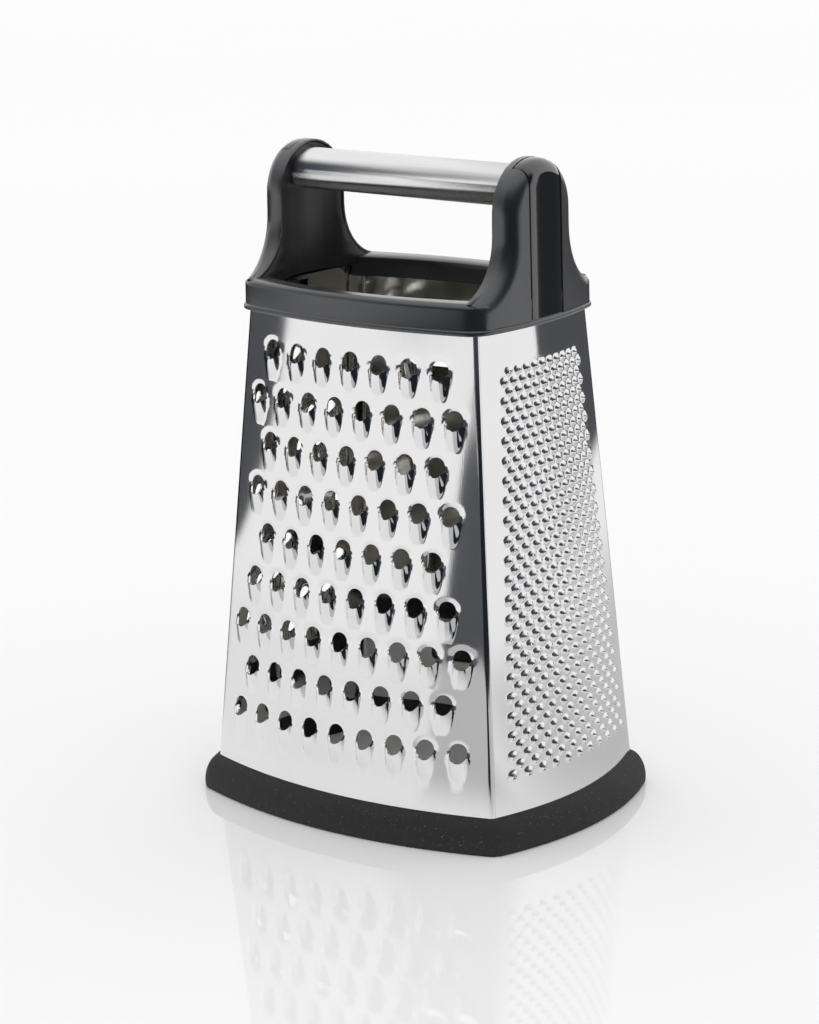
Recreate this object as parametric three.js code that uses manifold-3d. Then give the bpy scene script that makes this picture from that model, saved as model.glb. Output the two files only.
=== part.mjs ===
// A four sided box grater: sheet steel panels, a moulded collar with two uprights, a tube handle
// and a rubber base ring. Millimetres, +Z up, X along the tube, coarse face towards -Y.
import * as THREE from "three";
import { mergeVertices } from "three/addons/utils/BufferGeometryUtils.js";
import Module from "manifold-3d";

const wasm = await Module();
wasm.setup();

// Clearance between pieces that touch or are let into each other, and how far cuts run past the work
const GAP = 0.3;
const PAST = 6;

// Steel body, measured on the outer faces at the ring line and at the collar line
const SHEET = 0.6;
const RING_TOP = 12.2;
const NECK_Z = 181;
const BASE_HALF_WIDTH = 62.8;
const BASE_HALF_DEPTH = 44.9;
const WIDTH_TAPER = 12.3;
const DEPTH_TAPER = 10.95;
const NECK_HALF_WIDTH = BASE_HALF_WIDTH - WIDTH_TAPER;
const NECK_HALF_DEPTH = BASE_HALF_DEPTH - DEPTH_TAPER;
const BASE_BOW_FRONT = 10.6;
const NECK_BOW_FRONT = 5.15;
const BASE_BOW_SIDE = 8.6;
const NECK_BOW_SIDE = 4.4;
const STEEL_BOTTOM = 3.6;
const STEEL_ABOVE = 7.8;
const STEEL_TOP = NECK_Z + STEEL_ABOVE;

// Share of a panel's half width where its plain edge starts
const PLAIN_EDGE = 0.96;

// Corner bend, joggle and flange of the wide panels
const BEND = 1;
const JOGGLE_START = 1.2;
const JOGGLE_END = 2.6;
const FLANGE = 8;
const LAP_GAP = 0.4;
const LAP_EDGE = JOGGLE_END + LAP_GAP;

// Coarse teeth: rows of openings with a raised tongue below each
const COARSE_PITCH = 12.4;
const COARSE_ROW = 16.8;
const COARSE_TOP_ROW = 170.2;
const COARSE_COUNTS = [7, 8, 7, 8, 7, 8, 9, 8, 9];
const COARSE_TOOTH = { half: 3.4, top: 2.4, drop: 3.6, tail: 8.6, rise: 2.4 };
const COARSE_SPOTS = { tails: [0], arch: [-0.72, 0, 0.72], tops: [-0.6, 0.6] };

// Slicing blades: wide slots with a raised lip
const SLICE_ROWS = 4;
const SLICE_ROW = 36;
const SLICE_TOP_ROW = 152;
const SLICE_TOOTH = { half: 33, top: 1.6, drop: 1.6, tail: 12, rise: 1.6 };
const SLICE_SPOTS = {
  tails: [-0.92, -0.46, 0, 0.46, 0.92],
  arch: [-0.92, -0.46, 0, 0.46, 0.92],
  tops: [-0.97, -0.48, 0, 0.48, 0.97],
};

// Fine and zest teeth: small pricked holes with one raised point each
const FINE_ROWS = 42;
const FINE_COLUMNS = 11;
const FINE_LOW = 26.9;
const FINE_HIGH = 168.9;
const FINE_LOW_PITCH = 6.97;
const FINE_HIGH_PITCH = 4.53;
const FINE_TOOTH = { half: 0.95, drop: 1.7, rise: 0.8 };
const ZEST_ROWS = 13;
const ZEST_COLUMNS = 6;
const ZEST_LOW = 26;
const ZEST_HIGH = 172;
const ZEST_LOW_PITCH = 12.4;
const ZEST_HIGH_PITCH = 9.6;
const ZEST_TOOTH = { half: 2, drop: 3.6, rise: 1.3 };

// Latch windows in the tops of the side panels
const WINDOW_HALF = 4.5;
const WINDOW_HEIGHT = 2.8;
const WINDOW_DROP = 1.6;
const WINDOW_HIGH = STEEL_TOP - WINDOW_DROP;
const WINDOW_LOW = WINDOW_HIGH - WINDOW_HEIGHT;

// Collar
const COLLAR_OUT = 1.9;
const COLLAR_BOW_FRONT = 6.9;
const COLLAR_BOW_SIDE = 4.7;
const COLLAR_CORNER = 10;
const COLLAR_RISE = 1.3;
const COLLAR_BOTTOM = NECK_Z + COLLAR_RISE;
const RAIL_TOP = 193.4;
const RAIL_WIDTH = 8.6;
const LIP_OUT = 0.65;
const LIP_HEIGHT = 2;
const LIP_EDGE = 0.5;
const RAIL_ROUND = 0.7;
const SLOT_ROOF = STEEL_TOP + 2 * GAP;
const SKIRT_INSIDE = 2.4;
const SKIRT_RISE = 3;
const SIDE_VOID_EDGE = 6.95;
const SIDE_VOID = NECK_HALF_DEPTH - SIDE_VOID_EDGE;

// Uprights
const CROWN_Z = 240;
const UPRIGHT_HALF = 18.6;
const UPRIGHT_SET = 4;
const UPRIGHT_INNER = NECK_HALF_WIDTH - UPRIGHT_SET;
const UPRIGHT_FILLET = 5;
const UPRIGHT_DRAFT = 0.015;
const UPRIGHT_DISH = 5;
const UPRIGHT_PROUD = 0.4;
const FLARE = 21.2;

// Pieces let into the uprights
const STRIP_HALF = 9.7;
const STRIP_THICK = 1.2;
const STRIP_SHORT = 3.1;
const STRIP_END = UPRIGHT_INNER + STRIP_SHORT;
const PLATE_THICK = 1.5;
const PLATE_INSET = 1;
const PLATE_BOTTOM = SLOT_ROOF + 2 * GAP;

// Tube, plugs and screws
const TUBE_DROP = 10.5;
const TUBE_Z = CROWN_Z - TUBE_DROP;
const TUBE_RADIUS = 7.55;
const TUBE_WALL = 1;
const TUBE_SEAT = 6;
const TUBE_END = UPRIGHT_INNER + TUBE_SEAT;
const PLUG_LENGTH = 12;
const SCREW_RADIUS = 1.5;
const SCREW_HEAD = 2.9;
const SCREW_LENGTH = 10;

// Base ring
const RING_OUT = 5.5;
const RING_EASE = 1.6;
const RING_IN = 4.6;
const GROOVE_OUT = 0.5;
const GROOVE_IN = 2.6;
const GROOVE_FLOOR = STEEL_BOTTOM - GAP;

// Sizes that follow from the ones above
const span = (base, neck) => (z) => base + ((neck - base) * (z - RING_TOP)) / (NECK_Z - RING_TOP);
const halfWidth = span(BASE_HALF_WIDTH, NECK_HALF_WIDTH);
const halfDepth = span(BASE_HALF_DEPTH, NECK_HALF_DEPTH);
const bowFront = span(BASE_BOW_FRONT, NECK_BOW_FRONT);
const bowSide = span(BASE_BOW_SIDE, NECK_BOW_SIDE);
const COLLAR_X = NECK_HALF_WIDTH + COLLAR_OUT;
const COLLAR_Y = NECK_HALF_DEPTH + COLLAR_OUT;
const OUTER_X = COLLAR_X + COLLAR_BOW_SIDE + UPRIGHT_PROUD;
const LIP_TOP = COLLAR_BOTTOM + LIP_HEIGHT;
const ARCH_Z = CROWN_Z - UPRIGHT_HALF;
const FLARE_Y = UPRIGHT_HALF + FLARE;
const FLARE_Z = RAIL_TOP + FLARE;

// Closed triangle lists become geometries and solids here
function geometryOf(points, triangles) {
  const made = new THREE.BufferGeometry();
  made.setAttribute("position", new THREE.Float32BufferAttribute(points.flat(), 3));
  made.setIndex(triangles.flat());
  return made;
}

function solidOf(geometry) {
  const bare = geometry.clone();
  bare.deleteAttribute("normal");
  bare.deleteAttribute("uv");
  const merged = mergeVertices(bare, 1e-3);
  const kept = [];
  const at = merged.index.array;
  for (let i = 0; i < at.length; i += 3) {
    const [a, b, c] = [at[i], at[i + 1], at[i + 2]];
    if (a !== b && b !== c && c !== a) kept.push(a, b, c);
  }
  const build = (order) =>
    new wasm.Manifold(
      new wasm.Mesh({
        numProp: 3,
        vertProperties: merged.attributes.position.array,
        triVerts: new Uint32Array(order),
      }),
    );
  const first = build(kept);
  return first.volume() > 0 ? first : build(kept.reverse());
}

function geometryFrom(solid) {
  const mesh = solid.getMesh();
  const made = new THREE.BufferGeometry();
  made.setAttribute("position", new THREE.Float32BufferAttribute(mesh.vertProperties, 3));
  made.setIndex(Array.from(mesh.triVerts));
  made.computeVertexNormals();
  return made;
}

const group = new THREE.Group();
function add(name, solid, color, roughness, metalness) {
  const material = new THREE.MeshStandardMaterial({ color, roughness, metalness });
  const mesh = new THREE.Mesh(geometryFrom(solid), material);
  mesh.name = name;
  group.add(mesh);
}
const addSteel = (name, solid) => add(name, solid, 0xc8cacc, 0.18, 1);
const addSatin = (name, solid) => add(name, solid, 0x1c1d20, 0.5, 0);

const block = (x0, x1, y0, y1, z0, z1) =>
  solidOf(new THREE.BoxGeometry(x1 - x0, y1 - y0, z1 - z0)).translate(
    (x0 + x1) / 2,
    (y0 + y1) / 2,
    (z0 + z1) / 2,
  );
const mirrored = (solid) => solid.rotate(0, 0, 180);

// A bowed box outline with rounded corners, the same number of points at every height
function outline(hw, hd, bf, bs, radius) {
  const quarter = [];
  const front = (x) => [x, -(hd + bf * (1 - (x / hw) ** 2))];
  const side = (y) => [hw + bs * (1 - (y / hd) ** 2), y];
  const turn = Math.PI / 2 - Math.atan((2 * bf) / hw) - Math.atan((2 * bs) / hd);
  const reach = radius * Math.tan(turn / 2);
  const a = front(hw - reach);
  const b = side(-hd + reach);
  for (const f of [0, 0.28, 0.55, 0.8]) quarter.push(front(f * (hw - reach)));
  for (const t of [0, 1 / 3, 2 / 3, 1]) {
    const c = [(1 - t) ** 2, 2 * t * (1 - t), t * t];
    quarter.push([c[0] * a[0] + c[1] * hw + c[2] * b[0], c[0] * a[1] - c[1] * hd + c[2] * b[1]]);
  }
  for (const f of [0.72, 0.48, 0.24]) quarter.push(side(-f * (hd - reach)));
  quarter.push(side(0));
  const rest = quarter.slice(0, -1).reverse().map(([x, y]) => [x, -y]);
  const half = [...quarter, ...rest];
  return [...half.slice(0, -1), ...half.slice(0, -1).map(([x, y]) => [-x, -y])];
}
const steelLine = (z, off, radius) =>
  outline(halfWidth(z) + off, halfDepth(z) + off, bowFront(z), bowSide(z), radius);
const collarLine = (off, radius) =>
  outline(COLLAR_X + off, COLLAR_Y + off, COLLAR_BOW_FRONT, COLLAR_BOW_SIDE, radius);

// Triangles between two lines of spots, the shorter crossing first
function zipped(low, high, at) {
  const triangles = [];
  let [i, j] = [0, 0];
  while (i + 1 < low.length || j + 1 < high.length) {
    const lowStep = i + 1 < low.length ? Math.abs(at(low[i + 1]) - at(high[j])) : Infinity;
    const highStep = j + 1 < high.length ? Math.abs(at(high[j + 1]) - at(low[i])) : Infinity;
    if (lowStep <= highStep) {
      triangles.push([low[i], low[i + 1], high[j]]);
      i += 1;
    } else {
      triangles.push([low[i], high[j + 1], high[j]]);
      j += 1;
    }
  }
  return triangles;
}

// A closed band round the body from a loop of outlines, each with its height
function band(loops) {
  const n = loops[0].line.length;
  const points = loops.flatMap(({ line, z }) => line.map(([x, y]) => [x, y, z]));
  const triangles = [];
  loops.forEach((_, j) => {
    const k = (j + 1) % loops.length;
    for (let i = 0; i < n; i += 1) {
      const m = (i + 1) % n;
      const [a, b, c, d] = [j * n + i, j * n + m, k * n + m, k * n + i];
      triangles.push([a, b, c], [a, c, d]);
    }
  });
  return solidOf(geometryOf(points, triangles));
}

// A plug that fills the space inside a stack of outlines
function filled(loops) {
  const n = loops[0].line.length;
  const points = loops.flatMap(({ line, z }) => line.map(([x, y]) => [x, y, z]));
  const triangles = [];
  for (let j = 0; j + 1 < loops.length; j += 1)
    for (let i = 0; i < n; i += 1) {
      const m = (i + 1) % n;
      const [a, b] = [j * n + i, j * n + m];
      triangles.push([a, b, b + n], [a, b + n, a + n]);
    }
  const cap = THREE.ShapeUtils.triangulateShape(
    loops[0].line.map(([x, y]) => new THREE.Vector2(x, y)),
    [],
  );
  const top = (loops.length - 1) * n;
  cap.forEach(([a, b, c]) => triangles.push([a, c, b], [top + a, top + b, top + c]));
  return solidOf(geometryOf(points, triangles));
}

// Sheet panels are laid out flat as lines of spots, then bent on to the body.
// A spot has its place along the line, its height, its lift off the sheet and its column kind.
const wide = {
  limit: (z) => halfWidth(z) - BEND,
  columns: [0, 1, 2, 3, 4],
  place(spot) {
    const { u, z, kind } = spot;
    const [hw, hd, bf, bs] = [halfWidth(z), halfDepth(z), bowFront(z), bowSide(z)];
    const main = (p) => ({ u: p, w: hd + bf * (1 - (p / hw) ** 2), n: [(2 * bf * p) / hw ** 2, 1] });
    if (!kind) return main(u);
    const side = (d, back) => {
      const w = hd - d;
      const n = new THREE.Vector2(1, (2 * bs * w) / hd ** 2).normalize();
      const p = hw + bs * (1 - (w / hd) ** 2);
      return { u: p - n.x * back, w: w - n.y * back, n: [n.x, n.y] };
    };
    const k = Math.abs(kind);
    const made =
      k === 2
        ? side(JOGGLE_START, 0)
        : k === 3
          ? side(JOGGLE_END, SHEET + LAP_GAP)
          : k === 4
            ? side(FLANGE, SHEET + LAP_GAP)
            : bend(main(hw - BEND), { u: hw, w: hd }, side(JOGGLE_START, 0));
    return kind > 0 ? made : { u: -made.u, w: made.w, n: [-made.n[0], made.n[1]] };
  },
};
function bend(a, corner, b) {
  return {
    u: a.u / 4 + corner.u / 2 + b.u / 4,
    w: a.w / 4 + corner.w / 2 + b.w / 4,
    n: [a.n[0] + b.n[0], a.n[1] + b.n[1]],
  };
}
const narrow = {
  limit: (z) => halfDepth(z) - LAP_EDGE,
  columns: [0],
  place({ u, z }) {
    const [hw, hd, bs] = [halfWidth(z), halfDepth(z), bowSide(z)];
    return { u, w: hw + bs * (1 - (u / hd) ** 2), n: [(2 * bs * u) / hd ** 2, 1] };
  },
};

class Sheet {
  constructor(form) {
    this.form = form;
    this.spots = [];
    this.triangles = [];
    this.last = null;
    this.edges = [[], []];
  }
  spot(u, z, lift = 0, kind = 0) {
    this.spots.push({ u, z, lift, kind, order: u / this.form.limit(z) });
    return this.spots.length - 1;
  }
  // The plain columns past the ends of the lines, drawn from foot to head
  edgeColumns() {
    const heights = [STEEL_BOTTOM, (STEEL_BOTTOM + STEEL_TOP) / 2, STEEL_TOP];
    this.edges.forEach((edge, side) => {
      const sign = side ? 1 : -1;
      let last = edge;
      for (const k of this.form.columns) {
        const next = heights.map((z) => this.spot(sign * this.form.limit(z), z, 0, sign * k));
        if (side) this.zip(next, last, "z");
        else this.zip(last, next, "z");
        last = next;
      }
    });
  }
  // A line with even spots along it, round the given middle spots
  plain(z, middle = [this.spot(0, z)], holes = []) {
    const at = (f) => this.spot(f * this.form.limit(z), z);
    const inner = [...[-0.75, -0.5, -0.25].map(at), ...middle, ...[0.25, 0.5, 0.75].map(at)];
    this.up(z, inner, holes);
  }
  zip(low, high, key = "order") {
    this.triangles.push(...zipped(low, high, (i) => this.spots[i][key]));
  }
  // The next line up. Holes are pairs of runs, one on each line, with nothing between them
  up(z, middle, holes = []) {
    const [first, final] = [-1, 1].map((f) => this.spot(f * PLAIN_EDGE * this.form.limit(z), z));
    const line = [first, ...middle, final];
    this.edges[0].push(first);
    this.edges[1].push(final);
    if (this.last) {
      let [low, high] = [this.last, line];
      for (const [lowRun, highRun] of holes) {
        this.zip(low.slice(0, low.indexOf(lowRun[0]) + 1), high.slice(0, high.indexOf(highRun[0]) + 1));
        low = low.slice(low.indexOf(lowRun[lowRun.length - 1]));
        high = high.slice(high.indexOf(highRun[highRun.length - 1]));
      }
      this.zip(low, high);
    }
    this.last = line;
  }
  // Outer skin, inner skin and the walls round every open edge
  solid(turns) {
    this.edgeColumns();
    const count = this.spots.length;
    const points = [0, SHEET].flatMap((depth) =>
      this.spots.map((spot) => {
        const { u, w, n } = this.form.place(spot);
        const s = (spot.lift - depth) / Math.hypot(n[0], n[1]);
        return [u + n[0] * s, -(w + n[1] * s), spot.z];
      }),
    );
    const triangles = [...this.triangles];
    const seen = new Set(this.triangles.flatMap(([a, b, c]) => [`${a} ${b}`, `${b} ${c}`, `${c} ${a}`]));
    for (const [a, b, c] of this.triangles) {
      triangles.push([a + count, c + count, b + count]);
      for (const [p, q] of [[a, b], [b, c], [c, a]])
        if (!seen.has(`${q} ${p}`))
          triangles.push([q, p, p + count], [q, p + count, q + count]);
    }
    return solidOf(geometryOf(points, triangles)).rotate(0, 0, 90 * turns);
  }
}

// One row of cutting teeth: an opening above a raised, arched tongue
function toothRow(sheet, z, centres, tooth, { tails, arch, tops }) {
  const { half, top, drop, tail, rise } = tooth;
  const tailSpots = centres.flatMap((u) => tails.map((f) => sheet.spot(u + f * half, z - drop - tail)));
  sheet.up(z - drop - tail, tailSpots);
  const arches = centres.map((u) =>
    arch.map((f) => sheet.spot(u + f * half, z - drop * (1 - f * f * 0.6), rise * (1 - f * f * 0.5))),
  );
  const feet = centres.map((u) => [-1.12, 1.12].map((f) => sheet.spot(u + f * half, z - drop)));
  const footLine = arches.flatMap((run, i) => [feet[i][0], ...run, feet[i][1]]);
  sheet.up(z - drop, footLine);
  const mids = centres.map((u) => [-1, 1].map((f) => sheet.spot(u + f * half, z)));
  sheet.up(z, mids.flat(), arches.map((run, i) => [run, mids[i]]));
  const heads = centres.map((u) => tops.map((f) => sheet.spot(u + f * half, z + top)));
  sheet.up(z + top, heads.flat(), mids.map((mid, i) => [mid, heads[i]]));
}

// One row of pricked holes: flat above, one raised point below
function prickRow(sheet, z, centres, { half, drop, rise }) {
  const points = centres.map((u) => sheet.spot(u, z - drop, rise));
  sheet.up(z - drop, points);
  const tops = centres.map((u) => [-1, 1].map((f) => sheet.spot(u + f * half, z)));
  sheet.up(z, tops.flat(), points.map((point, i) => [[point], tops[i]]));
}

const centred = (count, pitch) =>
  Array.from({ length: count }, (_, i) => (i - (count - 1) / 2) * pitch);

function coarsePanel() {
  const sheet = new Sheet(wide);
  sheet.plain(STEEL_BOTTOM);
  COARSE_COUNTS.map((count, i) => [count, COARSE_TOP_ROW - i * COARSE_ROW])
    .reverse()
    .forEach(([count, z]) => toothRow(sheet, z, centred(count, COARSE_PITCH), COARSE_TOOTH, COARSE_SPOTS));
  sheet.plain(STEEL_TOP);
  return sheet.solid(0);
}

function slicingPanel() {
  const sheet = new Sheet(wide);
  sheet.plain(STEEL_BOTTOM);
  for (let i = SLICE_ROWS - 1; i >= 0; i -= 1)
    toothRow(sheet, SLICE_TOP_ROW - i * SLICE_ROW, [0], SLICE_TOOTH, SLICE_SPOTS);
  sheet.plain(STEEL_TOP);
  return sheet.solid(2);
}

function prickedPanel(rows, columns, [low, high], [lowPitch, highPitch], tooth, turns) {
  const sheet = new Sheet(narrow);
  sheet.plain(STEEL_BOTTOM);
  sheet.plain(low - 2 * tooth.drop);
  for (let i = 0; i < rows; i += 1) {
    const part = i / (rows - 1);
    const pitch = lowPitch + (highPitch - lowPitch) * part;
    const count = i % 2 ? columns - 1 : columns;
    prickRow(sheet, low + (high - low) * part, centred(count, pitch), tooth);
  }
  const window = (z) => [-1, 1].map((f) => sheet.spot(f * WINDOW_HALF, z));
  const [sill, head] = [window(WINDOW_LOW), window(WINDOW_HIGH)];
  sheet.plain(WINDOW_LOW, sill);
  sheet.plain(WINDOW_HIGH, head, [[sill, head]]);
  sheet.plain(STEEL_TOP);
  return sheet.solid(turns);
}

// Half of an upright's bell shape, from its foot to the crown, drawn in by an inset
function bellSide(inset, foot) {
  const side = [];
  const reach = FLARE + inset;
  const end = Math.acos(Math.min(0.95, (FLARE_Y - (COLLAR_Y - 0.2 - inset)) / reach));
  side.push([COLLAR_Y - 0.2 - inset, foot]);
  for (let i = 5; i >= 0; i -= 1) {
    const t = (end * i) / 5;
    side.push([FLARE_Y - reach * Math.cos(t), Math.max(foot + 0.2, FLARE_Z - reach * Math.sin(t))]);
  }
  const radius = UPRIGHT_HALF - inset;
  for (let i = 0; i <= 5; i += 1) {
    const t = (Math.PI / 2) * (i / 5);
    side.push([radius * Math.cos(t), ARCH_Z + radius * Math.sin(t)]);
  }
  return side;
}
const bellLoop = (inset, foot, squeeze = 1) => {
  const side = bellSide(inset, foot).map(([y, z]) => [y * squeeze, z]);
  return [...side, ...side.slice(0, -1).reverse().map(([y, z]) => [-y, z])];
};
const outerFace = (x, y, z) => x - COLLAR_BOW_SIDE * (y / COLLAR_Y) ** 2 - UPRIGHT_DRAFT * (z - LIP_TOP);
function innerFace(y, z) {
  const high = Math.max(0, z - ARCH_Z);
  return UPRIGHT_INNER + UPRIGHT_DISH * Math.max(0, 1 - (y * y + high * high) / UPRIGHT_HALF ** 2);
}

// A closed stack of bell loops along X from the middle line of the inner face, out to the edge and back
// to the middle line of the outer face, with the foot closed by its own strip
const SQUEEZES = [0, 0.35, 0.7, 1];
function stack(loops) {
  const n = loops[0].length;
  const points = loops.flat();
  const triangles = [];
  for (let j = 0; j + 1 < loops.length; j += 1)
    for (let a = j * n; a + 1 < (j + 1) * n; a += 1)
      triangles.push([a, a + 1, a + 1 + n], [a, a + 1 + n, a + n]);
  const feet = loops.map((_, j) => j * n);
  const [front, back] = [feet.slice(0, SQUEEZES.length), feet.slice(SQUEEZES.length).reverse()];
  for (const [a, b, c] of zipped(front, back, (i) => points[i][1]))
    triangles.push([a, b, c], [a + n - 1, c + n - 1, b + n - 1]);
  return solidOf(geometryOf(points, triangles));
}

// The right upright down to a foot. A core has its skin drawn in by an inset and runs out past the dish
const coreFace = () => UPRIGHT_INNER - PAST;
function upright(inset, foot, inner = innerFace, steps = [0, 1 / 3, 2 / 3, 1]) {
  const loops = SQUEEZES.map((s) => bellLoop(inset, foot, s).map(([y, z]) => [inner(y, z), y, z]));
  for (const t of steps) {
    const turn = (Math.PI / 2) * t;
    const round = UPRIGHT_FILLET - Math.min(inset, UPRIGHT_FILLET - 1);
    const x = OUTER_X - inset - round * (1 - Math.sin(turn));
    const drawn = inset + round * (1 - Math.cos(turn));
    loops.push(bellLoop(drawn, foot).map(([y, z]) => [outerFace(x, y, z), y, z]));
  }
  const last = inset + UPRIGHT_FILLET - Math.min(inset, UPRIGHT_FILLET - 1);
  for (const s of SQUEEZES.slice(0, -1).reverse())
    loops.push(bellLoop(last, foot, s).map(([y, z]) => [outerFace(OUTER_X - inset, y, z), y, z]));
  return stack(loops);
}

// A plate that follows the dished inner face of the right upright
function innerPlate(inset, front, back, foot) {
  const loops = SQUEEZES.map((s) => bellLoop(inset, foot, s).map(([y, z]) => [innerFace(y, z) + front, y, z]));
  const far = loops.map((loop) => loop.map(([x, y, z]) => [x - front + back, y, z])).reverse();
  return stack([...loops, ...far]);
}

// A round bar along X, turned a little so that no facet edge falls on the middle plane
const PHASE = 0.06;
function rod(radius, x0, x1, segments = 24) {
  const bar = new THREE.CylinderGeometry(radius, radius, x1 - x0, segments, 1, false, PHASE);
  bar.rotateZ(Math.PI / 2);
  return solidOf(bar).translate((x0 + x1) / 2, 0, TUBE_Z);
}

// A turned shape along X from radius and place pairs
function turned(profile, segments = 14) {
  const spots = profile.map(([r, x]) => new THREE.Vector2(r, x));
  const shape = new THREE.LatheGeometry(spots, segments, PHASE);
  shape.rotateZ(-Math.PI / 2);
  return solidOf(shape).translate(0, 0, TUBE_Z);
}

// Collar and uprights, one moulding
const collarRing = band([
  { line: collarLine(LIP_OUT - LIP_EDGE, COLLAR_CORNER), z: COLLAR_BOTTOM },
  { line: collarLine(LIP_OUT, COLLAR_CORNER), z: COLLAR_BOTTOM + LIP_EDGE },
  { line: collarLine(LIP_OUT, COLLAR_CORNER), z: LIP_TOP - LIP_EDGE },
  { line: collarLine(0, COLLAR_CORNER), z: LIP_TOP },
  { line: collarLine(0, COLLAR_CORNER), z: RAIL_TOP - RAIL_ROUND },
  { line: collarLine(-RAIL_ROUND, COLLAR_CORNER), z: RAIL_TOP },
  { line: collarLine(RAIL_ROUND - RAIL_WIDTH, COLLAR_CORNER), z: RAIL_TOP },
  { line: collarLine(-RAIL_WIDTH, COLLAR_CORNER), z: RAIL_TOP - RAIL_ROUND },
  { line: collarLine(-RAIL_WIDTH, COLLAR_CORNER), z: COLLAR_BOTTOM + SKIRT_RISE },
]);
const slotFoot = COLLAR_BOTTOM - PAST;
const slot = band([
  { line: steelLine(slotFoot, GAP, BEND), z: slotFoot },
  { line: steelLine(SLOT_ROOF, GAP, BEND), z: SLOT_ROOF },
  { line: steelLine(SLOT_ROOF, -SKIRT_INSIDE, BEND), z: SLOT_ROOF },
  { line: steelLine(slotFoot, -SKIRT_INSIDE, BEND), z: slotFoot },
]);
const inside = filled([
  { line: steelLine(slotFoot, GAP, BEND), z: slotFoot },
  { line: steelLine(SLOT_ROOF, GAP, BEND), z: SLOT_ROOF },
]);
const sideVoid = inside.intersect(block(-OUTER_X - PAST, OUTER_X + PAST, -SIDE_VOID, SIDE_VOID, 0, CROWN_Z));

const rightUpright = upright(0, LIP_TOP);
const core = (inset) => upright(inset, LIP_TOP - PAST, coreFace, [0, 0.5, 1]);
const stripSlab = (half, end, foot) => block(end, OUTER_X + PAST, -half, half, foot, CROWN_Z + PAST);
const stripPocket = stripSlab(STRIP_HALF + GAP, STRIP_END - GAP, LIP_TOP).subtract(
  core(STRIP_THICK + GAP),
);
const rightStrip = rightUpright
  .intersect(stripSlab(STRIP_HALF, STRIP_END, LIP_TOP + GAP))
  .subtract(core(STRIP_THICK));

const plateSolid = innerPlate(PLATE_INSET, 0, PLATE_THICK, PLATE_BOTTOM);
const platePocket = innerPlate(PLATE_INSET - GAP, -PAST, PLATE_THICK + GAP, SLOT_ROOF - GAP);
const rightPlate = plateSolid.subtract(rod(TUBE_RADIUS + GAP, UPRIGHT_INNER - PAST, OUTER_X + PAST));

const headEnd = outerFace(OUTER_X, 0, TUBE_Z) - STRIP_THICK - 2 * GAP;
const screwSeat = turned([
  [0, TUBE_END - 1],
  [SCREW_RADIUS + GAP, TUBE_END - 1],
  [SCREW_RADIUS + GAP, headEnd - 1.1],
  [SCREW_HEAD + GAP, headEnd + 0.1],
  [SCREW_HEAD + GAP, OUTER_X],
  [0, OUTER_X],
]);
const rightScrew = turned([
  [0, headEnd - SCREW_LENGTH],
  [SCREW_RADIUS, headEnd - SCREW_LENGTH],
  [SCREW_RADIUS, headEnd - 1.1],
  [SCREW_HEAD, headEnd - 0.1],
  [SCREW_HEAD, headEnd],
  [0, headEnd],
]);
const tubeSeat = rod(TUBE_RADIUS + GAP, UPRIGHT_INNER - PAST, TUBE_END + GAP);

// A latch block that reaches from the outer skirt into the window of the side panel
const latchZ = (WINDOW_LOW + WINDOW_HIGH) / 2;
const latchX = halfWidth(latchZ) + bowSide(latchZ);
const latch = block(
  latchX - SHEET - 0.6,
  latchX + 2 * GAP,
  GAP - WINDOW_HALF,
  WINDOW_HALF - GAP,
  WINDOW_LOW + GAP,
  WINDOW_HIGH - GAP,
);

const cuts = stripPocket.add(platePocket).add(screwSeat).add(tubeSeat);
const collarFrame = collarRing
  .add(rightUpright)
  .add(mirrored(rightUpright))
  .subtract(slot)
  .subtract(sideVoid)
  .add(latch)
  .add(mirrored(latch))
  .subtract(cuts)
  .subtract(mirrored(cuts));

const tube = rod(TUBE_RADIUS, -TUBE_END, TUBE_END).subtract(
  rod(TUBE_RADIUS - TUBE_WALL, -TUBE_END - PAST, TUBE_END + PAST),
);
const rightPlug = rod(TUBE_RADIUS - TUBE_WALL - GAP, TUBE_END - PLUG_LENGTH, TUBE_END).subtract(
  rod(SCREW_RADIUS + GAP, TUBE_END - PLUG_LENGTH - PAST, TUBE_END + PAST, 14),
);

// Base ring, with the groove that takes the lower edges of the panels
function ringLoop(off, z) {
  const ease = RING_EASE * Math.max(0, (off - GROOVE_OUT) / (RING_OUT - GROOVE_OUT));
  const [hw, hd] = [halfWidth(z) + off - ease, halfDepth(z) + off - ease];
  return { line: outline(hw, hd, bowFront(z) + ease, bowSide(z) + ease, Math.max(BEND, BEND + off)), z };
}
const baseRing = band([
  ringLoop(RING_OUT - 1, 0),
  ringLoop(RING_OUT - 0.2, 1.2),
  ringLoop(RING_OUT, RING_TOP * 0.3),
  ringLoop(RING_OUT * 0.94, RING_TOP * 0.55),
  ringLoop(RING_OUT * 0.72, RING_TOP * 0.8),
  ringLoop(RING_OUT * 0.4, RING_TOP * 0.96),
  ringLoop(GROOVE_OUT, RING_TOP),
  ringLoop(GROOVE_OUT, GROOVE_FLOOR),
  ringLoop(-GROOVE_IN, GROOVE_FLOOR),
  ringLoop(-GROOVE_IN, RING_TOP - 2),
  ringLoop(-RING_IN, RING_TOP - 3),
  ringLoop(-RING_IN, 0),
]);

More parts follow.
